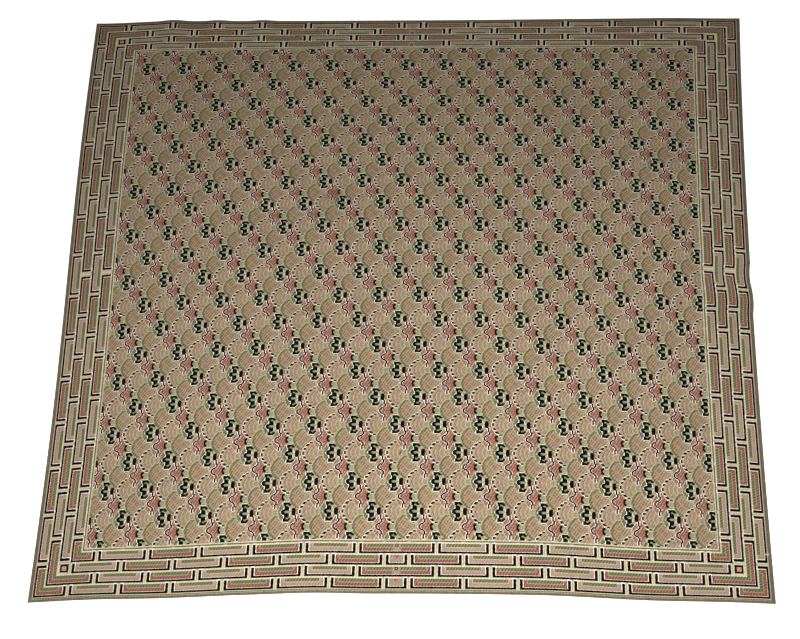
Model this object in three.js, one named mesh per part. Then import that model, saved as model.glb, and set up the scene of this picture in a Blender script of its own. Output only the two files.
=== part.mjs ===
// A large needlework rug, lying flat: one piece of canvas wholly covered with wool long-armed cross
// stitch, its edge turned under. Millimetres, +Z up, +X across, +Y towards the far end. The origin is
// at the middle of its box, on the surface it lies on.
import * as THREE from 'three';

// The cloth as it comes off the frame
const STITCH = 5;
const STITCHES_ACROSS = 698;
const STITCHES_LONG = 728;
const WIDTH = STITCH * STITCHES_ACROSS;
const LENGTH = STITCH * STITCHES_LONG;
const THICKNESS = 5;
const EDGE_ROUND = 1.5;

// How a cloth worked by hand lies out of true, in stitches: how far its two sides and its middle have
// drifted, across (to the right) and along (to the far end), at three places down its length
const DRIFT = {
  leftAcross: { far: -6, half: 0, near: 5 },
  rightAcross: { far: 8, half: -2, near: -3 },
  leftAlong: { far: -6, half: 4, near: -5 },
  rightAlong: { far: -10, half: 5, near: -4 },
  middleAlong: { far: -2, half: 20, near: 9 },
};

// The left side also waves, out in its far half and in again in its near half
const LEFT_WAVE = 2 * STITCH;

// The corners have slid towards the near end, the far left one most
const CORNERS = [
  { across: -1, along: 1, slid: 4 * STITCH },
  { across: 1, along: 1, slid: 2 * STITCH },
  { across: -1, along: -1, slid: STITCH },
  { across: 1, along: -1, slid: STITCH },
];
const CORNER_REACH = { across: 450, along: 900 };

// Stitches are a little wider in the middle of the rug than at its sides
const SPREAD_OUT = 3 * STITCH;
const SPREAD_LEFT = 3 * STITCH;

// The border at the far end is drawn in, and behind it the middle of the cloth bulges to the far end
const FAR_DRAWN = { drawn: 3 * STITCH, reach: 500 };
const BULGE = { y: 600, sides: -1.5 * STITCH, middle: 2 * STITCH, reach: 900 };

// Left of the middle, the cloth has moved to the right
const PULL = { x: -700, y: 500, shift: 8, halfWidth: 700, reach: 1300 };

// Where the near edge sags out, or in where it is less than 0
const NEAR_SAGS = [
  { x: 1180, sag: 13, halfWidth: 570 },
  { x: -1100, sag: 8, halfWidth: 500 },
  { x: -390, sag: -6, halfWidth: 300 },
];
const SAG_REACH = 1200;

// A short kink half way down the right side, where the cloth nearer than it is gathered up
const KINK = {
  y: -110, shift: 6, halfLength: 170, reach: 450, gather: 3.5 * STITCH, above: 50, below: 950,
};

// Low ripples that run in from the far end, where the cloth lifts off what it lies on
const RIPPLES = [
  { x: -1305, height: 9, halfWidth: 110, reach: 300 },
  { x: -1055, height: 7, halfWidth: 100, reach: 260 },
  { x: -805, height: 7, halfWidth: 100, reach: 240 },
];

// Mesh lines: wide steps where the cloth lies plain, fine ones at the ripples and the kink
const WIDE_STEP = 150;
const LINES_ACROSS = [
  { to: -1430, step: WIDE_STEP },
  { to: -680, step: 30 },
  { to: WIDTH / 2, step: WIDE_STEP },
];
const LINES_LONG = [
  { to: -300, step: WIDE_STEP },
  { to: 80, step: 60 },
  { to: LENGTH / 2 - 320, step: WIDE_STEP },
  { to: LENGTH / 2, step: 60 },
];

// A bow through its values at the far end, half way and at the near end; down goes from 0 to 1
function bow({ far, half, near }, down) {
  const up = 1 - down;
  return STITCH * (far * (up - down) * up + half * 4 * down * up + near * (down - up) * down);
}

// One hump of a cosine, 1 in the middle and 0 at both ends
function hump(distance, half) {
  return Math.abs(distance) < half ? 0.5 + 0.5 * Math.cos(Math.PI * distance / half) : 0;
}

// Where a point of the true rectangle lies on the floor
function laid(x, y) {
  const across = x / WIDTH + 0.5;
  const down = 0.5 - y / LENGTH;
  const between = (left, right) => left * (1 - across) + right * across;
  const wave = LEFT_WAVE * Math.sin(2 * Math.PI * down);
  const pull = PULL.shift * hump(x - PULL.x, PULL.halfWidth) * hump(y - PULL.y, PULL.reach);
  const kink = KINK.shift * Math.sin(Math.PI * Math.min(Math.max((y - KINK.y) / KINK.halfLength, -1), 1))
    * hump(WIDTH / 2 - x, KINK.reach);
  const gather = KINK.gather * hump(y - KINK.y, y > KINK.y ? KINK.above : KINK.below)
    * hump(WIDTH / 2 - x, KINK.reach);
  const slid = CORNERS.reduce((sum, corner) => sum + corner.slid
    * hump(WIDTH / 2 - corner.across * x, CORNER_REACH.across)
    * hump(LENGTH / 2 - corner.along * y, CORNER_REACH.along), 0);
  const drawn = FAR_DRAWN.drawn * hump(LENGTH / 2 - y, FAR_DRAWN.reach);
  const middle = 4 * across * (1 - across);
  const bulge = (BULGE.sides + (BULGE.middle - BULGE.sides) * middle) * hump(y - BULGE.y, BULGE.reach);
  const sag = NEAR_SAGS.reduce((sum, s) => sum + s.sag * hump(x - s.x, s.halfWidth), 0)
    * hump(LENGTH / 2 + y, SAG_REACH);
  return {
    x: x + between(bow(DRIFT.leftAcross, down) - wave, bow(DRIFT.rightAcross, down))
      - SPREAD_OUT * Math.sin(2 * Math.PI * across) - SPREAD_LEFT * Math.sin(Math.PI * across) + pull - kink,
    y: y + between(bow(DRIFT.leftAlong, down), bow(DRIFT.rightAlong, down))
      + bow(DRIFT.middleAlong, down) * middle - slid - drawn + bulge - sag + gather,
  };
}

// How high the underside is off the floor there
function lift(x, y) {
  return RIPPLES.reduce(
    (sum, r) => sum + r.height * hump(x - r.x, r.halfWidth) * hump(LENGTH / 2 - y, r.reach), 0,
  );
}

// Mesh lines from one edge of the cloth to the other
function meshLines(size, stretches) {
  const lines = [-size / 2];
  for (const { to, step } of stretches) {
    const from = lines[lines.length - 1];
    const count = Math.max(1, Math.round((to - from) / step));
    for (let i = 1; i <= count; i += 1) lines.push(from + (to - from) * i / count);
  }
  return lines;
}

// The cloth as one closed skin: underside, upper side, and a rounded edge with a rim half way up
function clothGeometry() {
  const columns = meshLines(WIDTH, LINES_ACROSS);
  const rows = meshLines(LENGTH, LINES_LONG);
  const positions = [];
  const indices = [];
  const clamp = (value, half) => Math.min(Math.max(value, -half), half);

  function point(x, y, inset, height) {
    const flat = laid(clamp(x, WIDTH / 2 - inset), clamp(y, LENGTH / 2 - inset));
    positions.push(flat.x, flat.y, lift(x, y) + height);
    return positions.length / 3 - 1;
  }

  const layer = (height) => rows.map((y) => columns.map((x) => point(x, y, EDGE_ROUND, height)));
  const under = layer(0);
  const upper = layer(THICKNESS);

  for (let j = 0; j + 1 < rows.length; j += 1) {
    for (let i = 0; i + 1 < columns.length; i += 1) {
      const [a, b, c, d] = [upper[j][i], upper[j][i + 1], upper[j + 1][i + 1], upper[j + 1][i]];
      indices.push(a, b, c, a, c, d);
      const [e, f, g, h] = [under[j][i], under[j][i + 1], under[j + 1][i + 1], under[j + 1][i]];
      indices.push(e, g, f, e, h, g);
    }
  }

  // Once round the edge, anticlockwise from above
  const lastRow = rows.length - 1;
  const lastColumn = columns.length - 1;
  const round = [
    ...columns.slice(0, -1).map((_, i) => [0, i]),
    ...rows.slice(0, -1).map((_, j) => [j, lastColumn]),
    ...columns.slice(1).map((_, i) => [lastRow, lastColumn - i]),
    ...rows.slice(1).map((_, j) => [lastRow - j, 0]),
  ];
  const rim = round.map(([j, i]) => point(columns[i], rows[j], 0, THICKNESS / 2));
  round.forEach(([j, i], k) => {
    const next = (k + 1) % round.length;
    const [nj, ni] = round[next];
    indices.push(under[j][i], under[nj][ni], rim[next], under[j][i], rim[next], rim[k]);
    indices.push(rim[k], rim[next], upper[nj][ni], rim[k], upper[nj][ni], upper[j][i]);
  });

  const geometry = new THREE.BufferGeometry();
  geometry.setAttribute('position', new THREE.Float32BufferAttribute(positions, 3));
  geometry.setIndex(indices);
  geometry.computeBoundingBox();
  const middle = geometry.boundingBox.getCenter(new THREE.Vector3());
  geometry.translate(-middle.x, -middle.y, 0);
  geometry.computeVertexNormals();
  return geometry;
}

const wool = new THREE.MeshStandardMaterial({ color: 0x968972, roughness: 0.95, metalness: 0 });

const rug = new THREE.Mesh(clothGeometry(), wool);
rug.name = 'rug';

const group = new THREE.Group();
group.add(rug);

export default group;
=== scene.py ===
"""A large needlework rug that lies flat: its stitched cloth, the overcast stitches along its edge, and
a plain floor, soft light and a camera. Metres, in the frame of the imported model."""

import math
from collections import namedtuple

import bpy
import numpy as np
from mathutils import Matrix, Vector


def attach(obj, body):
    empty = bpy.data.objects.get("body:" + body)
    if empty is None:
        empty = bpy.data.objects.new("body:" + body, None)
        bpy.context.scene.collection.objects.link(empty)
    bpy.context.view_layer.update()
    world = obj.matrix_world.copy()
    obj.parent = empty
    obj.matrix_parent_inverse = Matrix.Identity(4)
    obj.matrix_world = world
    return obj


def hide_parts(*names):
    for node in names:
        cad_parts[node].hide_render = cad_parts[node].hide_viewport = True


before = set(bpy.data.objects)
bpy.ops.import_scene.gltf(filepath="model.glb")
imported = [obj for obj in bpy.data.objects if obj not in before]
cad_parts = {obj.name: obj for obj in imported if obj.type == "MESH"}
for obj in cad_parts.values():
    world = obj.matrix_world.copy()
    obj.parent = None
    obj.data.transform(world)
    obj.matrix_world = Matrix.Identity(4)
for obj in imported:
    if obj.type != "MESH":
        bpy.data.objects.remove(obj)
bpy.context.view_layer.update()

bl_info = {
    "name": "Needlework Rug",
    "version": (1, 0, 0),
    "blender": (4, 5, 0),
    "location": "3D View > Sidebar > Rug",
    "description": "Makes a large rug in long-armed cross stitch, lying flat",
    "category": "Add Mesh",
}

# The cloth, counted in stitches
STITCH = 0.005
ACROSS, DOWN = 698, 728
WIDTH, LENGTH = ACROSS * STITCH, DOWN * STITCH
MARGIN = 5

# Places on the cloth are counted from the middle of the outermost black line, to the right and down
LINE_ACROSS, LINE_DOWN = ACROSS - 2 * MARGIN, DOWN - 2 * MARGIN

# How the cloth lies out of true, in stitches: how far its sides and its middle have drifted, across
# (to the right) and along (to the far end), at the far end, half way and at the near end
DRIFT = {
    "left_across": (-6, 0, 5),
    "right_across": (8, -2, -3),
    "left_along": (-6, 4, -5),
    "right_along": (-10, 5, -4),
    "middle_along": (-2, 20, 9),
}
LEFT_WAVE = 2 * STITCH
SPREAD_OUT = 3 * STITCH
SPREAD_LEFT = 3 * STITCH

# The corners have slid towards the near end. Each row: across, along, how far
CORNERS = ((-1, 1, 4 * STITCH), (1, 1, 2 * STITCH), (-1, -1, STITCH), (1, -1, STITCH))
CORNER_REACH_ACROSS, CORNER_REACH_ALONG = 0.45, 0.9

# The border at the far end is drawn in, and behind it the middle of the cloth bulges to the far end
FAR_DRAWN, FAR_REACH = 3 * STITCH, 0.5
BULGE_SIDES, BULGE_MIDDLE, BULGE_Y, BULGE_REACH = -1.5 * STITCH, 2 * STITCH, 0.6, 0.9

# Left of the middle, the cloth has moved to the right
PULL_X, PULL_Y, PULL_SHIFT, PULL_HALF_WIDTH, PULL_REACH = -0.7, 0.5, 0.008, 0.7, 1.3

# Where the near edge sags out, or in where it is less than 0. Each row: x, how far, half its width
NEAR_SAGS = ((1.18, 0.013, 0.57), (-1.1, 0.008, 0.5), (-0.39, -0.006, 0.3))
SAG_REACH = 1.2

# The near half of the field is stretched wider than its border, by so much on each side
FIELD_STRETCH = 3

# A short kink half way down the right side, where the cloth nearer than it is gathered up
KINK_Y, KINK_SHIFT, KINK_HALF_LENGTH, KINK_REACH = -0.11, 0.006, 0.17, 0.45
KINK_GATHER, GATHER_ABOVE, GATHER_BELOW = 3.5 * STITCH, 0.05, 0.95

# Low ripples that run in from the far end. Each row: x, height, half width, reach
RIPPLES = ((-1.305, 0.009, 0.11, 0.3), (-1.055, 0.007, 0.1, 0.26), (-0.805, 0.007, 0.1, 0.24))

# The cloth never lies quite flat. Each row of slow waves: turns across, turns along, where it starts
WAVES = ((2.3, 1.2, 0.4), (-1.4, 2.7, 2.1), (4.1, 3.3, 4.6))

# The border: four rows of bars, then one guard line round the field
BAR_ROWS = 4
ROW_DEPTH = 11
GUARD = BAR_ROWS * ROW_DEPTH
FIELD_START = GUARD + 2

# From one gap between bars to the next, how far a row's first gap is from the corner, and how far in
# from the corner the small square of the third row reaches
REPEAT = 50
FIRST_GAP = 32.5
CORNER_SQUARE = 30

# The strokes of the crosses: from one to the next, and how far each leans from one row to the next
STROKE, STROKE_LEAN = 2.8, 0.6

# The field: scales in rows, each row half a scale over the one before. The head of a scale points left
# and is an arc of a circle. Its flower spreads from the foot, which is the other end of its axis.
SCALE_WIDE, SCALE_HIGH = 20, 30
FIELD_ORIGIN = (331, 375)
HEAD_RADIUS = 14

# The wools, each with the letter that stands for it in the motifs and its colour as seen
WOOLS = {
    "black": ("k", (7, 5, 3)),
    "dark_olive": ("o", (40, 36, 17)),
    "brown": ("b", (132, 111, 86)),
    "green": ("g", (107, 109, 78)),
    "terracotta": ("t", (144, 90, 74)),
    "rose": ("r", (156, 109, 92)),
    "light_green": ("l", (148, 148, 114)),
    "salmon": ("a", (200, 146, 120)),
    "pink": ("p", (167, 138, 120)),
    "white": ("w", (255, 252, 236)),
    "cream": ("s", (212, 199, 170)),
    "tan": ("y", (182, 166, 132)),
    "mauve": ("m", (158, 134, 116)),
    "beige": ("e", (151, 131, 104)),
    "hem": ("n", (122, 109, 88)),
    "dark_hem": ("d", (76, 64, 46)),
}
NUMBERS = {letter: number for number, (letter, _) in enumerate(WOOLS.values())}
DARK = (NUMBERS["k"], NUMBERS["o"])

# The first and the last of the wools on which the painted shade of the slanted strokes shows strongly
STREAKED = (NUMBERS["b"], NUMBERS["r"])

# Marks of age. Each row: where its middle is, half its width and height, degrees it is turned, its
# colour as seen and how strongly it covers the wool
MARKS = {
    "bare fleck": ((5, 100), (3.5, 1.5), 0, (195, 185, 165), 0.9),
    "rusty stain": ((270, 275), (8, 8), 0, (105, 60, 40), 0.3),
    "dark spot on the right": ((620, 405), (1.5, 1.5), 0, (40, 30, 20), 0.9),
    "dark spot above it": ((585, 345), (1.5, 1.5), 0, (40, 30, 20), 0.9),
    "brown stroke": ((345, 585), (2.5, 1), -60, (110, 60, 40), 0.8),
    "pale thread": ((690, 675), (3.5, 0.75), -10, (205, 195, 170), 0.9),
}


def linear(colour):
    """A colour as seen, 0 to 255, as the linear colour that materials take."""
    return tuple(
        c / 12.92 if c <= 0.04045 else ((c + 0.055) / 1.055) ** 2.4 for c in (v / 255 for v in colour)
    )


# A stitch's place in its scale: how deep it is inside the head's arc and its angle round the arc's
# middle, how far it is from the scale's foot and at what angle, and its column and row from the axis
Place = namedtuple("Place", "depth angle reach spread column distance")

# How deep the outline of every scale is, and from one line of a lattice to the next
RIM = 1.2
LATTICE = 8


def outside_petals(place, turns, length, notch):
    """How far a place is outside petals that spread from the foot. One of them lies on the axis."""
    return place.reach - length + notch * (1 - math.cos(turns * place.spread)) / 2


def dark_flower(place):
    """A flower that opens from its foot in black petals, on green."""
    outside = outside_petals(place, 11, 17, 3)
    if place.depth < RIM:
        return "y"
    if outside > 0.6:
        return "g"
    if outside > -0.6:
        return "s"
    if outside > -3.2:
        return "k"
    if place.reach < 6:
        return "r" if place.reach < 3.5 else "k"
    if math.cos(11 * place.spread) > 0.3:
        return "l"
    return "s" if outside < -5 else "k"


def pale_fan(place):
    """A fan of mauve ribs behind a beaded edge."""
    if place.depth < RIM:
        return "s"
    if place.depth < 2.4:
        return "k" if math.cos(16 * place.angle) > -0.2 else "s"
    if place.depth < 3.6:
        return "y"
    if place.depth < 5.4:
        return "p"
    if place.depth < 6.4:
        return "b"
    if place.reach % 4 < 1:
        return "y"
    return "m" if math.cos(14 * place.spread) > 0 else "e"


def rose_flower(place):
    """A rose flower that opens from its foot, its petals edged in cream and black."""
    outside = outside_petals(place, 8, 18, 4)
    if place.depth < RIM:
        return "s"
    if outside > 0.6:
        return "r"
    if outside > -0.6:
        return "s"
    if outside > -2:
        return "k"
    if outside > -3:
        return "s"
    if place.reach < 6:
        return "k" if place.reach > 4.8 else "l"
    return "t" if math.cos(16 * place.spread) > 0.6 else "r"


def green_fan(place):
    """A green fan with a lattice of rose and light green."""
    if place.depth < RIM:
        return "y"
    if place.depth < 3.4:
        return "g"
    across = (place.column + place.distance) % LATTICE
    back = (place.column - place.distance) % LATTICE
    if across < 2 or back < 2:
        return "l"
    return "p" if across in (4, 5) and back in (4, 5) else "r"


# Where the motifs' scales are in the repeat: the left end of each and the row of its axis
SCALE_PLACES = {
    dark_flower: (0, 0),
    pale_fan: (SCALE_WIDE, 0),
    rose_flower: (SCALE_WIDE // 2, SCALE_HIGH // 2),
    green_fan: (SCALE_WIDE * 3 // 2, SCALE_HIGH // 2),
}


def field_chart():
    """One whole repeat of the field, a row of wool numbers for each row of stitches."""
    wide, high = 2 * SCALE_WIDE, SCALE_HIGH
    chart = [[None] * wide for _ in range(high)]

    def head(distance):
        """How far the arc of the head has fallen back from its tip."""
        return round(HEAD_RADIUS - math.sqrt(HEAD_RADIUS**2 - distance**2))

    # A scale ends where the heads of the next ones begin
    last = SCALE_HIGH // 2 - 3
    for motif, (left, axis) in SCALE_PLACES.items():
        for distance in range(last + 1):
            facing = SCALE_HIGH // 2 - distance
            stop = SCALE_WIDE if facing > last else SCALE_WIDE // 2 + head(facing)
            for column in range(head(distance), stop):
                from_middle, from_foot = HEAD_RADIUS - column - 0.5, SCALE_WIDE - column - 0.5
                place = Place(
                    depth=HEAD_RADIUS - math.hypot(from_middle, distance),
                    angle=math.atan2(distance, from_middle),
                    reach=math.hypot(from_foot, distance),
                    spread=math.atan2(distance, from_foot),
                    column=column,
                    distance=distance,
                )
                number = NUMBERS[motif(place)]
                for row in {axis - distance, axis + distance}:
                    turn = row // high
                    chart[row - turn * high][(left + column - turn * SCALE_WIDE) % wide] = number
    if any(number is None for row in chart for number in row):
        raise ValueError("the scales leave a stitch of the repeat bare")

    # A pale outline is worked in white where it touches a dark stitch, and in tan elsewhere
    def touches_dark(row, column):
        """Whether one of the four stitches beside it is dark."""
        beside = [(row, column - 1), (row, column + 1), (row - 1, column), (row + 1, column)]
        return any(chart[r % high][(c - r // high * SCALE_WIDE) % wide] in DARK for r, c in beside)

    cream = [(r, c) for r in range(high) for c in range(wide) if chart[r][c] == NUMBERS["s"]]
    beside_dark = [place for place in cream if touches_dark(*place)]
    for row, column in cream:
        chart[row][column] = NUMBERS["w" if (row, column) in beside_dark else "y"]
    return chart


def runs(row, spread):
    """Where each run of one wool starts in a row, and its number. Dark runs reach out by the spread."""
    found = [(0, row[0])]
    for i in range(1, len(row)):
        if row[i] != row[i - 1]:
            reach = spread * ((row[i - 1] in DARK) - (row[i] in DARK))
            found.append((i + reach, row[i]))
    return found


# The laid shape, as in the model


def bow(name, down):
    """A bow through a drift's three values; down goes from 0 at the far end to 1 at the near one."""
    far, half, near = DRIFT[name]
    up = 1 - down
    return STITCH * (far * (up - down) * up + half * 4 * down * up + near * (down - up) * down)


def hump(distance, half):
    """One hump of a cosine, 1 in the middle and 0 at both ends."""
    return 0.5 + 0.5 * np.cos(np.pi * np.clip(distance / half, -1, 1))


def laid(x, y):
    """Where points of the true rectangle lie on the floor."""
    across = x / WIDTH + 0.5
    down = 0.5 - y / LENGTH
    wave = LEFT_WAVE * np.sin(2 * np.pi * down)
    kink = KINK_SHIFT * np.sin(np.pi * np.clip((y - KINK_Y) / KINK_HALF_LENGTH, -1, 1))
    slid = sum(
        far
        * hump(WIDTH / 2 - side * x, CORNER_REACH_ACROSS)
        * hump(LENGTH / 2 - end * y, CORNER_REACH_ALONG)
        for side, end, far in CORNERS
    )
    new_x = (
        x
        + (bow("left_across", down) - wave) * (1 - across)
        + bow("right_across", down) * across
        - SPREAD_OUT * np.sin(2 * np.pi * across)
        - SPREAD_LEFT * np.sin(np.pi * across)
        + PULL_SHIFT * hump(x - PULL_X, PULL_HALF_WIDTH) * hump(y - PULL_Y, PULL_REACH)
        - kink * hump(WIDTH / 2 - x, KINK_REACH)
    )
    middle = 4 * across * (1 - across)
    bulge = (BULGE_SIDES + (BULGE_MIDDLE - BULGE_SIDES) * middle) * hump(y - BULGE_Y, BULGE_REACH)
    sag = sum(far * hump(x - at, half) for at, far, half in NEAR_SAGS) * hump(LENGTH / 2 + y, SAG_REACH)
    gather = hump(y - KINK_Y, np.where(y > KINK_Y, GATHER_ABOVE, GATHER_BELOW))
    new_y = (
        y
        + bow("left_along", down) * (1 - across)
        + bow("right_along", down) * across
        + bow("middle_along", down) * middle
        - slid
        - FAR_DRAWN * hump(LENGTH / 2 - y, FAR_REACH)
        + bulge
        - sag
        + KINK_GATHER * gather * hump(WIDTH / 2 - x, KINK_REACH)
    )
    return new_x, new_y


def lift(x, y):
    """How high the ripples carry the underside off the floor."""
    return sum(h * hump(x - at, half) * hump(LENGTH / 2 - y, reach) for at, h, half, reach in RIPPLES)


def unevenness(x, y, height):
    """Slow waves of the lying cloth, never under the floor."""
    turns = [
        np.sin(2 * np.pi * (across * x / WIDTH + along * y / LENGTH) + start)
        for across, along, start in WAVES
    ]
    return height * (0.5 + sum(turns) / (2 * len(WAVES)))


def placed(x, y, settings):
    """Where points of the true rectangle lie, centred as the model is, and how high the underside is."""
    side = np.linspace(-0.5, 0.5, 401)
    edge = np.full_like(side, 0.5)
    outline_x, outline_y = laid(
        WIDTH * np.concatenate([side, side, edge, -edge]),
        LENGTH * np.concatenate([edge, -edge, side, side]),
    )
    new_x, new_y = laid(x, y)
    return (
        new_x - (outline_x.min() + outline_x.max()) / 2,
        new_y - (outline_y.min() + outline_y.max()) / 2,
        lift(x, y) + unevenness(x, y, settings.unevenness),
    )


# Nodes, for materials and for Geometry Nodes


class Tree:
    """A node tree, to which nodes are added by one method."""

    def __init__(self, tree):
        self.tree = tree

    def node(self, kind, settings=None, inputs=None, output=0):
        """Adds a node: its settings first, then the values or links of its sockets. Gives an output."""
        made = self.tree.nodes.new(kind)
        for name, value in (settings or {}).items():
            if name == "stops":
                set_stops(made.color_ramp, value)
            else:
                setattr(made, name, value)
        for name, value in (inputs or {}).items():
            if isinstance(value, Wire):
                self.tree.links.new(value.socket, made.inputs[name])
            else:
                made.inputs[name].default_value = value
        return Wire(self, made.outputs[output]) if len(made.outputs) else made

    def mix(self, mask, a, b):
        """Colour a where mask is 0, and b where it is 1."""
        return self.node("ShaderNodeMix", {"data_type": "RGBA"}, {0: mask, 6: a, 7: b}, output=2)

    def shaded(self, colour, light):
        """A colour made darker or lighter by a share."""
        grey = self.node("ShaderNodeCombineColor", {}, {0: light, 1: light, 2: light})
        settings = {"data_type": "RGBA", "blend_type": "MULTIPLY"}
        return self.node("ShaderNodeMix", settings, {0: 1.0, 6: colour, 7: grey}, output=2)

    def noise(self, vector, scale, detail=2.0):
        """A soft noise from 0 to 1."""
        return self.node("ShaderNodeTexNoise", {}, {"Vector": vector, "Scale": scale, "Detail": detail})


class Wire:
    """One output socket, on which sums can be written."""

    def __init__(self, owner, socket):
        self.owner, self.socket = owner, socket

    def other(self, output):
        """Another output of the same node."""
        return Wire(self.owner, self.socket.node.outputs[output])

    def math(self, operation, *values):
        return self.owner.node("ShaderNodeMath", {"operation": operation}, dict(enumerate(values)))

    def __add__(self, value):
        return self.math("ADD", self, value)

    def __radd__(self, value):
        return self.math("ADD", value, self)

    def __sub__(self, value):
        return self.math("SUBTRACT", self, value)

    def __rsub__(self, value):
        return self.math("SUBTRACT", value, self)

    def __mul__(self, value):
        return self.math("MULTIPLY", self, value)

    def __rmul__(self, value):
        return self.math("MULTIPLY", value, self)

    def __truediv__(self, value):
        return self.math("DIVIDE", self, value)

    def __mod__(self, value):
        return self.math("FLOORED_MODULO", self, value)

    def __lt__(self, value):
        return self.math("LESS_THAN", self, value)

    def __gt__(self, value):
        return self.math("GREATER_THAN", self, value)

    def __abs__(self):
        return self.math("ABSOLUTE", self)

    def floor(self):
        return self.math("FLOOR", self)

    def least(self, value):
        return self.math("MINIMUM", self, value)

    def most(self, value):
        return self.math("MAXIMUM", self, value)

    def sine(self):
        return self.math("SINE", self)

    def clipped(self):
        """Itself, but never under 0 or over 1."""
        return self.owner.node("ShaderNodeClamp", {}, {0: self})

    def power(self, value):
        return self.math("POWER", self, value)

    def near(self, value, within=0.25):
        """1 where it is that value, and 0 elsewhere."""
        return self.math("COMPARE", self, value, within)

    def pick(self, where_one, where_zero):
        """Of two numbers, the first where this mask is 1 and the second where it is 0."""
        return self.math("MULTIPLY_ADD", self, where_one - where_zero, where_zero)


def set_stops(ramp, stops):
    """Gives a colour ramp hard steps. Each stop: where it starts, from 0 to 1, and its colour."""
    ramp.interpolation = "CONSTANT"
    while len(ramp.elements) < len(stops):
        ramp.elements.new(1.0)
    for element, (position, colour) in zip(ramp.elements, stops):
        element.position = position
        element.color = colour


# The needlework's pattern


def wool_share(number):
    """A wool's number as a share from 0 to 1, at the middle of its step in the palette."""
    return (number + 0.5) / len(WOOLS)


def share_of(name):
    """The share that stands for a wool, by its name."""
    return wool_share(list(WOOLS).index(name))


def inwards(across, down):
    """How deep in from the edge, how far along it from the corner, and whether that edge is a side."""
    from_side = across.least(LINE_ACROSS - across)
    from_end = down.least(LINE_DOWN - down)
    return from_side.least(from_end), from_side.most(from_end), from_side < from_end


class Cloth:
    """Where a point of the needlework is: its stitch, and how far in from the edge that lies."""

    def __init__(self, tree, wear):
        self.tree = tree
        counted = tree.node("ShaderNodeUVMap", {"uv_map": "stitches"})
        apart = tree.node("ShaderNodeSeparateXYZ", {}, {0: counted})
        self.s, self.t = apart, apart.other(1)
        self.column = (self.s + 0.5).floor()
        self.row = (self.t + 0.5).floor()
        self.depth, self.along, self.at_side = inwards(self.column, self.row)
        self.exact_depth, self.exact_along, _ = inwards(self.s, self.t)
        self.in_border = self.depth < FIELD_START
        self.stitch = tree.node("ShaderNodeCombineXYZ", {}, {0: self.column, 1: self.row})
        noise = {"noise_dimensions": "2D"}
        self.chance = tree.node("ShaderNodeTexWhiteNoise", noise, {"Vector": self.stitch})
        self.strokes = self.slanted_strokes()
        self.spread = wear.dark_spread * (0.7 + self.chance * 0.4 + self.strokes * 0.25)
        self.wear = wear

    def slanted_strokes(self):
        """The slanted strokes of the crosses along each row, from -1 to 1. They set how far dark wool
        spreads, and they are the painted shade of the slanted strands.
        """
        turned = self.at_side * self.in_border
        along = turned.pick(self.t, self.s)
        over = turned.pick(self.s, self.t)
        return ((along + over * STROKE_LEAN) * (2 * math.pi / STROKE)).sine() * (0.6 + self.chance * 0.8)


def field_wool(cloth):
    """The wool of each stitch of the field, from the chart of its repeat."""
    wide, high = 2 * SCALE_WIDE, SCALE_HIGH
    down = cloth.row - FIELD_ORIGIN[1]
    turn = (down / high).floor()
    row = down - turn * high
    place = ((cloth.s + (0.5 - FIELD_ORIGIN[0]) - turn * SCALE_WIDE) % wide) / wide

    # The row beside this one, on the side where the point lies in its stitch
    off = cloth.t - cloth.row
    beside = row + (off > 0) * 2 - 1
    wool = beside_wool = 0.0
    for number, line in enumerate(field_chart()):
        stops = [(start / wide, (wool_share(n),) * 4) for start, n in runs(line, cloth.wear.dark_spread)]
        found = cloth.tree.node("ShaderNodeValToRGB", {"stops": stops}, {0: place}, output=1)
        wool = found.math("MULTIPLY_ADD", row.near(number), found, wool)
        beside_wool = found.math("MULTIPLY_ADD", beside.near(number), found, beside_wool)
    darkest_light = wool_share(max(DARK) + 0.5)
    spreads = (beside_wool < darkest_light) * (beside_wool > 0.001) * (abs(off) > 0.5 - cloth.spread)
    return spreads.pick(beside_wool, wool)


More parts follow.
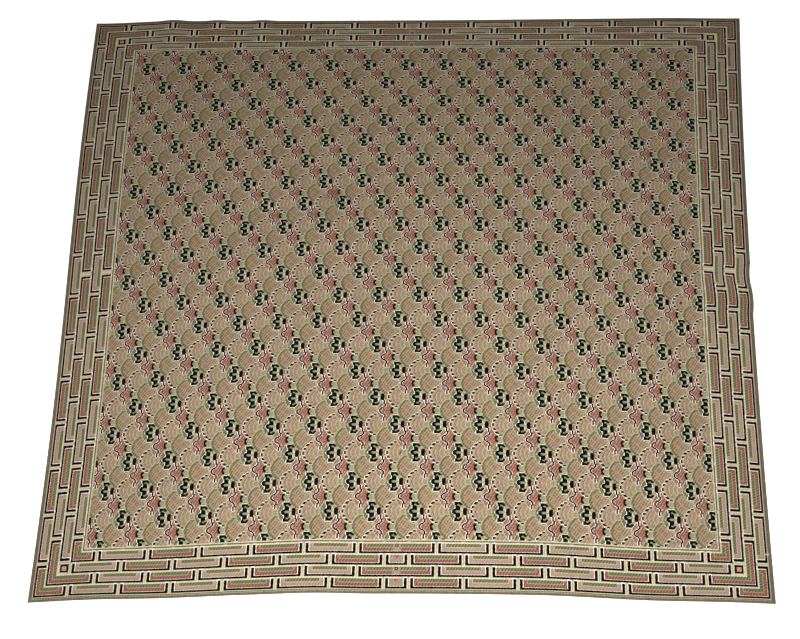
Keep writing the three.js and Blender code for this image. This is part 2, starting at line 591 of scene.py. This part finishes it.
def bar_wool(cloth):
    """The wool of each stitch of the border's staggered bars."""
    depth, along = cloth.depth, cloth.along
    line = ((cloth.exact_depth + 0.5 + cloth.spread) / ROW_DEPTH).floor()
    exact = cloth.exact_depth + 0.5 - line * ROW_DEPTH
    inward = depth - line * ROW_DEPTH
    odd = line % 2

    # The second row's corner bar has no gap before its first one
    first = FIRST_GAP + odd * (REPEAT / 2)
    in_corner = odd * (along < REPEAT / 2)

    def from_gap(place):
        return abs((place - first + REPEAT / 2) % REPEAT - REPEAT / 2).most(in_corner * REPEAT)

    gap, exact_gap = from_gap(along), from_gap(cloth.exact_along)
    bar = ((along - first + REPEAT) / REPEAT).floor()
    striped = (bar % 2) < 0.5

    # In from a bar's outline: a white stitch or two, two of its colour, a paler one, then its core
    band = (inward - 0.5).least(gap - 4)
    pale = striped.pick(share_of("light_green"), share_of("tan"))
    outer = striped.pick(share_of("terracotta"), share_of("pink"))
    wool = ((inward > 5.5) * (gap > 9)).pick(share_of("green"), pale)
    wool = (band < 4).pick(outer, wool)

    # The middle of the two ends: a short plain bar with a dot, or a break in a long striped one
    from_middle = abs(LINE_ACROSS / 2 - cloth.column)
    at_end = 1 - cloth.at_side
    short_bar = at_end * (1 - odd) * (from_middle < 8)
    dot = (from_middle < 2.5) * (inward > 5.5) * (inward - from_middle > 5)
    wool = short_bar.pick(dot.pick(share_of("terracotta"), share_of("mauve")), wool)
    broken = at_end * odd * (from_middle < 3.5)
    eye = (from_middle < 1.5) * (inward > 5.5) * (inward < 8.5)
    eye_wool = ((from_middle < 0.5) * inward.near(7)).pick(share_of("tan"), share_of("dark_olive"))
    wool = broken.pick(eye.pick(eye_wool, share_of("mauve")), wool)

    wool = (band < 1.5).pick(share_of("white"), (inward > 8.5).pick(share_of("cream"), wool))
    outline = exact < cloth.spread + 1.3
    ends = (exact_gap < cloth.spread + 4) * (exact < cloth.spread + 9.2)
    wool = (outline + ends).least(1).pick(share_of("black"), wool)
    in_gap = exact_gap < 2 - cloth.spread
    wool = in_gap.pick((exact_gap < 0.5).pick(share_of("tan"), share_of("cream")), wool)

    # The third row's corner is a small square
    square = line.near(2) * (along < CORNER_SQUARE + 0.5)
    ring = (exact < 2.8).most(cloth.exact_along > CORNER_SQUARE - 1.3)
    filled = (inward > 0.5).pick(ring.pick(share_of("black"), share_of("salmon")), share_of("cream"))
    return square.pick(filled, wool)


def edge_wool(cloth):
    """The wool of the plain stitches outside the bars, and of the guard line inside them."""

    def from_rim(*wools):
        stops = [(number / MARGIN, (share_of(name),) * 4) for number, name in enumerate(wools)]
        place = (cloth.depth + (MARGIN + 0.5)) / MARGIN
        return cloth.tree.node("ShaderNodeValToRGB", {"stops": stops}, {0: place}, output=1)

    # Painted shade: along the far end the rim is darkened to dark olive, where the turned rim lies in
    # shade. The rims of the sides are a little darker too.
    far_end_shade = (1 - cloth.at_side) * (cloth.row < LINE_DOWN / 2)
    ends = far_end_shade.pick(
        from_rim("dark_olive", "dark_olive", "dark_hem", "green", "tan"),
        from_rim("dark_hem", "hem", "tan", "green", "cream"),
    )
    outside = cloth.at_side.pick(from_rim("dark_hem", "hem", "dark_hem", "hem", "cream"), ends)
    guard = cloth.depth.near(GUARD).pick(share_of("green"), share_of("cream"))
    return (cloth.depth > GUARD - 0.5).pick(guard, outside)


def wool_number(cloth):
    """The wool of every stitch, as its share of the palette."""
    in_bars = (cloth.exact_depth > -0.5 - cloth.spread) * (cloth.depth < GUARD - 0.5)
    border = in_bars.pick(bar_wool(cloth), edge_wool(cloth))
    return cloth.in_border.pick(border, field_wool(cloth))


def stitch_relief(cloth):
    """How high the wool stands, from 0 to 1, in plaited rows along the border and across the field."""
    turned = cloth.at_side * cloth.in_border
    along = turned.pick(cloth.t, cloth.s)
    over = turned.pick(cloth.s, cloth.t)
    off_row = abs((over + 0.5) % 1 - 0.5) * 2
    strand = abs((along + off_row * 0.45) % 1 - 0.5) * 2
    return (1 - off_row.power(3)) * (0.45 + 0.55 * (1 - strand * strand))


def mark(cloth, middle, half_size, turned):
    """1 on a mark of age and 0 away from it, with a soft rim."""
    across, down = cloth.s - middle[0], cloth.t - middle[1]
    cos, sin = math.cos(math.radians(turned)), math.sin(math.radians(turned))
    along = (across * cos + down * sin) / half_size[0]
    over = (down * cos - across * sin) / half_size[1]
    return ((1.3 - (along * along + over * over).power(0.5)) * 2.5).clipped()


# Materials


def new_material(name):
    """An empty material and its node tree."""
    material = bpy.data.materials.new(name)
    material.use_nodes = True
    material.node_tree.nodes.clear()
    return material, Tree(material.node_tree)


def finish_wool(tree, colour, roughness, height, depth):
    """Ends a wool material: matt, with the relief of its stitches."""
    normal = tree.node("ShaderNodeBump", {}, {"Strength": 1.0, "Distance": depth, "Height": height})
    shader = tree.node(
        "ShaderNodeBsdfPrincipled",
        {},
        {
            "Base Color": colour,
            "Roughness": roughness,
            "Specular IOR Level": 0.12,
            "Normal": normal,
        },
    )
    tree.node("ShaderNodeOutputMaterial", {}, {"Surface": shader})


def dyed(tree, wools, number):
    """The colour of each wool, by its share of the palette."""
    stops = [
        (i / len(WOOLS), (*getattr(wools, name), 1.0)) for i, name in enumerate(WOOLS)
    ]
    return tree.node("ShaderNodeValToRGB", {"stops": stops}, {0: number})


def stitched_material(name, wools, wear, face_up=True):
    """The needlework's face, or its back, where the same wools show duller and less even."""
    material, tree = new_material(name)
    cloth = Cloth(tree, wear)
    number = wool_number(cloth)
    colour = dyed(tree, wools, number)
    relief = stitch_relief(cloth)
    streaked = (number > wool_share(STREAKED[0] - 0.5)) * (number < wool_share(STREAKED[1] + 0.5))
    strokes = streaked.pick(wear.strokes, wear.strokes * 0.25)

    # Each stitch differs a little, and so does each stretch of a dye lot
    here = tree.node("ShaderNodeTexCoord", {}, {}, output=3)
    patch = tree.noise(here, 3.0, 4.0)
    lot = tree.noise(cloth.stitch, 0.09, 1.0)
    light = (
        1
        + (cloth.chance - 0.5) * (2 * wear.stitch_variation)
        # painted shade of the slanted strands of each cross
        + cloth.strokes * strokes
        + (patch - 0.5) * (2 * wear.patchiness)
        + (lot - 0.5) * (2 * wear.dye_lots)
    )
    light = light * (1 - wear.shadow_between + relief * wear.shadow_between)
    if face_up:
        for middle, half_size, turned, seen, strength in MARKS.values():
            covers = mark(cloth, middle, half_size, turned) * (strength * wear.marks)
            colour = tree.mix(covers, colour, (*linear(seen), 1.0))
    else:
        colour = tree.mix(0.35, colour, (*wools.beige, 1.0))
        light = light * 0.8
    colour = tree.shaded(colour, light)
    finish_wool(tree, colour, 0.86 + patch * 0.12, relief, wear.relief)
    return material


def edge_material(name, wools, wear):
    """The yarn that binds the edge."""
    material, tree = new_material(name)
    shade = tree.node("ShaderNodeAttribute", {"attribute_name": "shade"}, {}, output=2)
    run = tree.node("ShaderNodeAttribute", {"attribute_name": "run"}, {}, output=2)
    colour = tree.mix(shade, (*[0.75 * c for c in wools.hem], 1.0), (*[1.15 * c for c in wools.hem], 1.0))
    twist = (run * (2 * math.pi * 5)).sine() * 0.5 + 0.5
    # Painted shade: the yarn is darker in the grooves of its twist, where the bump is low
    light = 0.85 + twist * 0.15
    colour = tree.shaded(colour, light)
    finish_wool(tree, colour, 0.9, twist, wear.relief / 2)
    return material


def floor_material(name, colour):
    """A plain pale matt floor that glows a little, so that it shows as even."""
    material, tree = new_material(name)
    shader = tree.node(
        "ShaderNodeBsdfPrincipled",
        {},
        {
            "Base Color": (*colour, 1.0),
            "Roughness": 0.9,
            "Specular IOR Level": 0.1,
            "Emission Color": (1.0, 1.0, 1.0, 1.0),
            "Emission Strength": 0.8,
        },
    )
    tree.node("ShaderNodeOutputMaterial", {}, {"Surface": shader})
    return material


# The cloth's mesh


def mesh_lines(size, settings):
    """Mesh lines from edge to edge: close together where the edge rounds over, then evenly spaced."""
    near_edge = settings.edge_round * np.array([0, 0.15, 0.5, 1])
    inner = size / 2 - 4 * settings.edge_round
    count = round(2 * inner / settings.mesh_step)
    half = size / 2 - near_edge
    return np.concatenate([-half, np.linspace(-inner, inner, count + 1), half[::-1]])


def cloth_mesh(name, settings):
    """The cloth as one closed skin: its face, its back, and the rim where they meet."""
    columns, rows = mesh_lines(WIDTH, settings), mesh_lines(LENGTH, settings)
    x, y = np.meshgrid(columns, rows)
    inset = np.minimum(WIDTH / 2 - abs(x), LENGTH / 2 - abs(y))
    rounding = np.sqrt(1 - (1 - np.clip(inset / settings.edge_round, 0, 1)) ** 2)
    new_x, new_y, under = placed(x, y, settings)
    middle = under + settings.thickness / 2
    hem = settings.hem_rise * hump(inset, settings.hem_width) * rounding
    top = np.stack([new_x, new_y, middle + settings.thickness / 2 * rounding + hem], -1)
    back = np.stack([new_x, new_y, middle - settings.thickness / 2 * rounding], -1)

    high, wide = x.shape
    face = np.arange(high * wide).reshape(high, wide)
    inside = np.zeros((high, wide), bool)
    inside[1:-1, 1:-1] = True
    other = face.copy()
    other[inside] = high * wide + np.arange(inside.sum())
    points = np.concatenate([top.reshape(-1, 3), back[inside]])

    def squares(grid, upward):
        corners = [grid[:-1, :-1], grid[:-1, 1:], grid[1:, 1:], grid[1:, :-1]]
        return np.stack(corners if upward else corners[::-1], -1).reshape(-1, 4)

    faces = np.concatenate([squares(face, True), squares(other, False)])
    mesh = bpy.data.meshes.new(name)
    mesh.from_pydata(points.tolist(), [], faces.tolist())
    mesh.polygons.foreach_set("use_smooth", np.ones(len(faces), bool))
    material_index = np.zeros(len(faces), np.int32)
    material_index[len(faces) // 2 :] = 1
    mesh.polygons.foreach_set("material_index", material_index)

    counted = np.stack([x / STITCH + LINE_ACROSS / 2, LINE_DOWN / 2 - y / STITCH], -1)
    inner = np.clip((inset / STITCH - GUARD) / GUARD, 0, 1)
    counted[..., 0] -= FIELD_STRETCH * x / (WIDTH / 2) * np.clip(0.5 - y / LENGTH, 0, 1) ** 2 * inner
    counted = np.concatenate([counted.reshape(-1, 2), counted[inside]])
    layer = mesh.uv_layers.new(name="stitches")
    layer.data.foreach_set("uv", counted[faces.ravel()].astype(np.float32).ravel())
    mesh.update()
    mesh.validate()
    return mesh


# The edge stitches: the step of the line they follow, and how one stitch goes over the rim
EDGE_STEP = 0.01
ARC_START, ARC_SWEEP = math.radians(-38), math.radians(160)


def edge_line(name, settings):
    """The line along the cloth's rim, once round, anticlockwise from above."""
    half_x, half_y = WIDTH / 2, LENGTH / 2
    corners = np.array([(-half_x, -half_y), (half_x, -half_y), (half_x, half_y), (-half_x, half_y)])
    stretches = []
    for start, stop in zip(corners, np.roll(corners, -1, axis=0)):
        steps = round(abs(stop - start).max() / EDGE_STEP)
        stretches.append(np.linspace(start, stop, steps, endpoint=False))
    x, y = np.concatenate(stretches).T
    points = np.stack(placed(x, y, settings), -1)
    curve = bpy.data.curves.new(name, "CURVE")
    curve.dimensions = "3D"
    spline = curve.splines.new("POLY")
    spline.points.add(len(points) - 1)
    spline.points.foreach_set("co", np.column_stack([points, np.ones(len(points))]).ravel())
    spline.use_cyclic_u = True
    return bpy.data.objects.new(name, curve)


def overcast_tree():
    """Geometry Nodes that put one arched stitch after another along the edge."""
    group = bpy.data.node_groups.new("overcast edge", "GeometryNodeTree")
    for name, kind in (
        ("Edge", "NodeSocketGeometry"),
        ("Pitch", "NodeSocketFloat"),
        ("Yarn", "NodeSocketFloat"),
        ("Reach", "NodeSocketFloat"),
        ("Thickness", "NodeSocketFloat"),
        ("Lean", "NodeSocketFloat"),
        ("Seed", "NodeSocketInt"),
        ("Wool", "NodeSocketMaterial"),
    ):
        group.interface.new_socket(name=name, in_out="INPUT", socket_type=kind)
    group.interface.new_socket(name="Stitches", in_out="OUTPUT", socket_type="NodeSocketGeometry")
    tree = Tree(group)
    edge = tree.node("NodeGroupInput")
    pitch, yarn, reach, thickness, lean, seed, wool = (edge.other(i) for i in range(1, 8))

    # One stitch: yarn that comes out of the face, over the rim and under it
    arc = tree.node(
        "GeometryNodeCurveArc",
        {"mode": "RADIUS"},
        {"Resolution": 7, "Radius": 1.0, "Start Angle": ARC_START, "Sweep Angle": ARC_SWEEP},
    )
    arc = tree.node(
        "GeometryNodeStoreNamedAttribute",
        {"data_type": "FLOAT", "domain": "POINT"},
        {"Geometry": arc, "Name": "run", "Value": tree.node("GeometryNodeSplineParameter")},
    )
    rise = thickness * 0.5 + yarn * 0.35
    stretch = tree.node("ShaderNodeCombineXYZ", {}, {0: reach, 1: rise, 2: 1.0})
    shift = tree.node("ShaderNodeCombineXYZ", {}, {0: yarn * 0.5 - reach, 1: 0.0, 2: rise})
    arc = tree.node(
        "GeometryNodeTransform",
        {},
        {"Geometry": arc, "Translation": shift, "Rotation": (math.radians(90), 0, 0), "Scale": stretch},
    )
    ring = tree.node(
        "GeometryNodeCurvePrimitiveCircle", {"mode": "RADIUS"}, {"Resolution": 5, "Radius": yarn * 0.5}
    )
    stitch = tree.node(
        "GeometryNodeCurveToMesh", {}, {"Curve": arc, "Profile Curve": ring, "Fill Caps": True}
    )
    stitch = tree.node("GeometryNodeSetShadeSmooth", {}, {"Geometry": stitch, "Shade Smooth": True})
    widen = tree.node("ShaderNodeCombineXYZ", {}, {0: 1.0, 1: pitch / yarn * 1.12, 2: 1.0})
    stitch = tree.node("GeometryNodeTransform", {}, {"Geometry": stitch, "Scale": widen})

    # All of them
    even = tree.node("GeometryNodeResampleCurve", {"mode": "LENGTH"}, {"Curve": edge, "Length": pitch})
    points = tree.node("GeometryNodeCurveToPoints", {"mode": "EVALUATED"}, {"Curve": even})
    turn = tree.node(
        "FunctionNodeAxesToRotation",
        {"primary_axis": "Y", "secondary_axis": "Z"},
        {"Primary Axis": points.other("Tangent"), "Secondary Axis": (0, 0, 1)},
    )

    def at_random(low, high, offset):
        values = {2: low, 3: high, "Seed": seed + offset}
        return tree.node("FunctionNodeRandomValue", {"data_type": "FLOAT"}, values, output=1)

    leaning = tree.node("ShaderNodeCombineXYZ", {}, {0: 0.0, 1: 0.0, 2: lean * at_random(0.6, 1.4, 1)})
    placed_stitches = tree.node(
        "GeometryNodeInstanceOnPoints",
        {},
        {
            "Points": points,
            "Instance": stitch,
            "Rotation": turn,
            "Scale": at_random(0.94, 1.06, 2),
        },
    )
    placed_stitches = tree.node(
        "GeometryNodeRotateInstances",
        {},
        {"Instances": placed_stitches, "Rotation": leaning, "Local Space": True},
    )
    placed_stitches = tree.node(
        "GeometryNodeStoreNamedAttribute",
        {"data_type": "FLOAT", "domain": "INSTANCE"},
        {"Geometry": placed_stitches, "Name": "shade", "Value": at_random(0.0, 1.0, 3)},
    )
    whole = tree.node("GeometryNodeRealizeInstances", {}, {"Geometry": placed_stitches})
    whole = tree.node("GeometryNodeSetMaterial", {}, {"Geometry": whole, "Material": wool})
    tree.node("NodeGroupOutput", {}, {0: whole})
    return group


def made_by_nodes(name, source, group, values):
    """Runs Geometry Nodes on a source object and gives the result as a plain mesh object."""
    bpy.context.scene.collection.objects.link(source)
    modifier = source.modifiers.new("stitches", "NODES")
    modifier.node_group = group
    sockets = {item.name: item.identifier for item in group.interface.items_tree if item.in_out == "INPUT"}
    for label, value in values.items():
        modifier[sockets[label]] = value
    evaluated = source.evaluated_get(bpy.context.evaluated_depsgraph_get())
    mesh = bpy.data.meshes.new_from_object(evaluated)
    mesh.name = name
    bpy.data.objects.remove(source)
    return mesh


def add_piece(name, mesh):
    """Adds a finished mesh as a piece of the rug."""
    piece = bpy.data.objects.new(name, mesh)
    bpy.context.scene.collection.objects.link(piece)
    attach(piece, "root")
    return piece


# What a user can change


def length(name, description, default):
    """A size in metres that a user can change."""
    return bpy.props.FloatProperty(
        name=name, description=description, default=default, min=0, unit="LENGTH"
    )


def share(name, description, default):
    """A share from 0 to 1 that a user can change."""
    return bpy.props.FloatProperty(
        name=name, description=description, default=default, min=0, max=1, subtype="FACTOR"
    )


def wool_colour(name):
    """The colour of one wool, which a user can change."""
    label = name.replace("_", " ")
    return bpy.props.FloatVectorProperty(
        name=label.capitalize(),
        description=f"Colour of the {label} wool",
        default=linear(WOOLS[name][1]),
        subtype="COLOR",
        min=0,
        max=1,
    )


class RugCloth(bpy.types.PropertyGroup):
    """Sizes of the cloth."""

    thickness: length("Thickness", "Thickness of the worked canvas", 0.005)
    edge_round: length("Edge round", "How far in the rim rounds over", 0.0025)
    mesh_step: length("Mesh step", "Distance between mesh lines", 0.019)
    hem_width: length("Hem width", "How far the canvas is turned under", 0.035)
    hem_rise: length("Hem rise", "How much the turned hem lifts the edge", 0.0008)
    unevenness: length("Unevenness", "Height of the slow waves in the lying cloth", 0.0015)


class RugWools(bpy.types.PropertyGroup):
    """Colours of the wools."""

    black: wool_colour("black")
    dark_olive: wool_colour("dark_olive")
    brown: wool_colour("brown")
    green: wool_colour("green")
    terracotta: wool_colour("terracotta")
    rose: wool_colour("rose")
    light_green: wool_colour("light_green")
    salmon: wool_colour("salmon")
    pink: wool_colour("pink")
    white: wool_colour("white")
    cream: wool_colour("cream")
    tan: wool_colour("tan")
    mauve: wool_colour("mauve")
    beige: wool_colour("beige")
    hem: wool_colour("hem")
    dark_hem: wool_colour("dark_hem")


class RugWear(bpy.types.PropertyGroup):
    """How uneven and how worn the wool is."""

    relief: length("Relief", "How far the wool stands up between the rows", 0.0012)
    stitch_variation: share("Stitch variation", "How much one stitch differs from the next", 0.12)
    strokes: share("Strokes", "How strongly the slant of the stitches shows", 0.45)
    dark_spread: share("Dark spread", "How far dark wool spreads over the next stitch", 0.42)
    marks: share("Marks", "How strongly the stains and flecks show", 1.0)
    patchiness: share("Patchiness", "How much one part of the rug differs from another", 0.12)
    dye_lots: share("Dye lots", "How much short stretches of one wool differ", 0.06)
    shadow_between: share("Shadow between", "How dark it is between the strands", 0.2)


class RugEdge(bpy.types.PropertyGroup):
    """The stitches that bind the edge."""

    pitch: length("Pitch", "Distance from one edge stitch to the next", 0.005)
    yarn: length("Yarn", "Thickness of the yarn", 0.0016)
    reach: length("Reach", "How far in from the edge each stitch goes", 0.008)
    lean: bpy.props.FloatProperty(
        name="Lean", description="How far the stitches lean", default=math.radians(20), subtype="ANGLE"
    )
    seed: bpy.props.IntProperty(name="Seed", description="Which random stitches", default=7, min=0)


class RugStage(bpy.types.PropertyGroup):
    """The floor, the light and the camera."""

    floor_colour: bpy.props.FloatVectorProperty(
        name="Floor", description="Colour of the plain floor", default=(0.86, 0.86, 0.86), subtype="COLOR"
    )
    room_light: bpy.props.FloatProperty(
        name="Room light", description="Strength of the light from all round", default=0.09, min=0
    )
    key_light: bpy.props.FloatProperty(
        name="Key light", description="Power of the large soft lamp", default=262, min=0, unit="POWER"
    )
    elevation: bpy.props.FloatProperty(
        name="Elevation", description="How steeply the camera looks down",
        default=math.radians(55.21), subtype="ANGLE",
    )
    turned: bpy.props.FloatProperty(
        name="Turned", description="How far the camera is turned to the right", default=math.radians(-5.12),
        subtype="ANGLE",
    )
    roll: bpy.props.FloatProperty(
        name="Roll", description="How far the camera is tipped to one side", default=math.radians(-4.41),
        subtype="ANGLE",
    )
    distance: length("Distance", "From the camera to what it looks at", 11.046)
    lens: bpy.props.FloatProperty(name="Lens", description="Focal length in millimetres", default=99, min=1)


# Operators


class RUG_OT_cloth(bpy.types.Operator):
    """Makes the rug's cloth, with its turned hem"""

    bl_idname = "rug.make_cloth"
    bl_label = "Make the Cloth"

    def execute(self, context):
        scene = context.scene
        mesh = cloth_mesh("rug_cloth", scene.rug_cloth)
        wools, wear = scene.rug_wools, scene.rug_wear
        mesh.materials.append(stitched_material("needlework", wools, wear))
        mesh.materials.append(stitched_material("needlework back", wools, wear, face_up=False))
        cloth = add_piece("rug_cloth", mesh)
        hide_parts("rug")
        return {"FINISHED"}


class RUG_OT_edge_stitches(bpy.types.Operator):
    """Makes the overcast stitches along the rug's edge"""

    bl_idname = "rug.make_edge_stitches"
    bl_label = "Make the Edge Stitches"

    def execute(self, context):
        scene = context.scene
        edge = scene.rug_edge
        values = {
            "Pitch": edge.pitch,
            "Yarn": edge.yarn,
            "Reach": edge.reach,
            "Thickness": scene.rug_cloth.thickness,
            "Lean": edge.lean,
            "Seed": edge.seed,
            "Wool": edge_material("edge yarn", scene.rug_wools, scene.rug_wear),
        }
        line = edge_line("edge line", scene.rug_cloth)
        mesh = made_by_nodes("edge_stitches", line, overcast_tree(), values)
        stitches = add_piece("edge_stitches", mesh)
        return {"FINISHED"}


class RUG_OT_stage(bpy.types.Operator):
    """Sets the floor, the lights and the camera"""

    bl_idname = "rug.set_stage"
    bl_label = "Set the Stage"

    def execute(self, context):
        scene = context.scene
        stage = scene.rug_stage
        add_floor(stage)
        add_lights(stage)
        add_camera(stage)
        scene.view_settings.view_transform = "Standard"
        return {"FINISHED"}


# The stage: the floor, the lamp, and the point that the camera looks at
FLOOR_SIZE, FLOOR_DROP = 60.0, 0.001
LAMP_SIZE = (2, 1)
LAMP_AT, LAMP_SHINES_AT = Vector((0.1, -1.9, 4.0)), Vector((0.1, -1.2, 0))
LOOKS_AT = Vector((-0.035, -0.215, 0))


def add_floor(stage):
    """A wide plain floor, a hair under the rug."""
    mesh = bpy.data.meshes.new("floor")
    half = FLOOR_SIZE / 2
    corners = [(-half, -half), (half, -half), (half, half), (-half, half)]
    mesh.from_pydata([(x, y, -FLOOR_DROP) for x, y in corners], [], [(0, 1, 2, 3)])
    mesh.materials.append(floor_material("plain floor", stage.floor_colour))
    floor = bpy.data.objects.new("floor", mesh)
    bpy.context.scene.collection.objects.link(floor)


def add_lights(stage):
    """Light from all round, and one large soft lamp over the near half of the rug."""
    world = bpy.data.worlds.new("room")
    world.use_nodes = True
    background = world.node_tree.nodes["Background"]
    background.inputs["Color"].default_value = (1, 0.9, 0.76, 1)
    background.inputs["Strength"].default_value = stage.room_light
    bpy.context.scene.world = world

    lamp = bpy.data.lights.new("key", "AREA")
    lamp.shape = "RECTANGLE"
    lamp.size, lamp.size_y = LAMP_SIZE
    lamp.energy = stage.key_light
    key = bpy.data.objects.new("key", lamp)
    key.location = LAMP_AT
    key.rotation_euler = (LAMP_SHINES_AT - LAMP_AT).to_track_quat("-Z", "Y").to_euler()
    bpy.context.scene.collection.objects.link(key)


def add_camera(stage):
    """The camera looks down on the rug from its near end, a little from the right."""
    elevation, turned, roll = stage.elevation, stage.turned, stage.roll
    ahead = Vector((math.sin(turned), math.cos(turned), 0))
    forward = math.cos(elevation) * ahead - Vector((0, 0, math.sin(elevation)))
    right = Vector((math.cos(turned), -math.sin(turned), 0))
    up = right.cross(forward)
    tipped_right = math.cos(roll) * right + math.sin(roll) * up
    tipped_up = math.cos(roll) * up - math.sin(roll) * right
    data = bpy.data.cameras.new("camera")
    data.sensor_width = 36
    data.lens = stage.lens
    camera = bpy.data.objects.new("camera", data)
    bpy.context.scene.collection.objects.link(camera)
    axes = Matrix((tipped_right, tipped_up, -forward)).transposed().to_4x4()
    camera.matrix_world = Matrix.Translation(LOOKS_AT - forward * stage.distance) @ axes
    bpy.context.scene.camera = camera


class RUG_PT_maker(bpy.types.Panel):
    """Lists what makes the rug"""

    bl_idname = "RUG_PT_maker"
    bl_label = "Needlework Rug"
    bl_space_type = "VIEW_3D"
    bl_region_type = "UI"
    bl_category = "Rug"

    def draw(self, context):
        for group in GROUPS:
            settings = getattr(context.scene, group)
            box = self.layout.box()
            box.label(text=group.replace("_", " ").capitalize())
            for name in settings.__annotations__:
                box.prop(settings, name)
        for operator in OPERATORS:
            self.layout.operator(operator.bl_idname)


GROUPS = {
    "rug_cloth": RugCloth,
    "rug_wools": RugWools,
    "rug_wear": RugWear,
    "rug_edge": RugEdge,
    "rug_stage": RugStage,
}
OPERATORS = (RUG_OT_cloth, RUG_OT_edge_stitches, RUG_OT_stage)


def register():
    """Adds the settings, the operators and the panel to Blender."""
    for made in (*GROUPS.values(), *OPERATORS, RUG_PT_maker):
        bpy.utils.register_class(made)
    for name, group in GROUPS.items():
        setattr(bpy.types.Scene, name, bpy.props.PointerProperty(type=group))


def unregister():
    """Takes them away again."""
    for name in GROUPS:
        delattr(bpy.types.Scene, name)
    for made in (RUG_PT_maker, *reversed(OPERATORS), *reversed(GROUPS.values())):
        bpy.utils.unregister_class(made)


def main():
    """Makes the rug on its stage."""
    register()
    bpy.ops.rug.make_cloth()
    bpy.ops.rug.make_edge_stitches()
    bpy.ops.rug.set_stage()


if __name__ == "__main__":
    main()
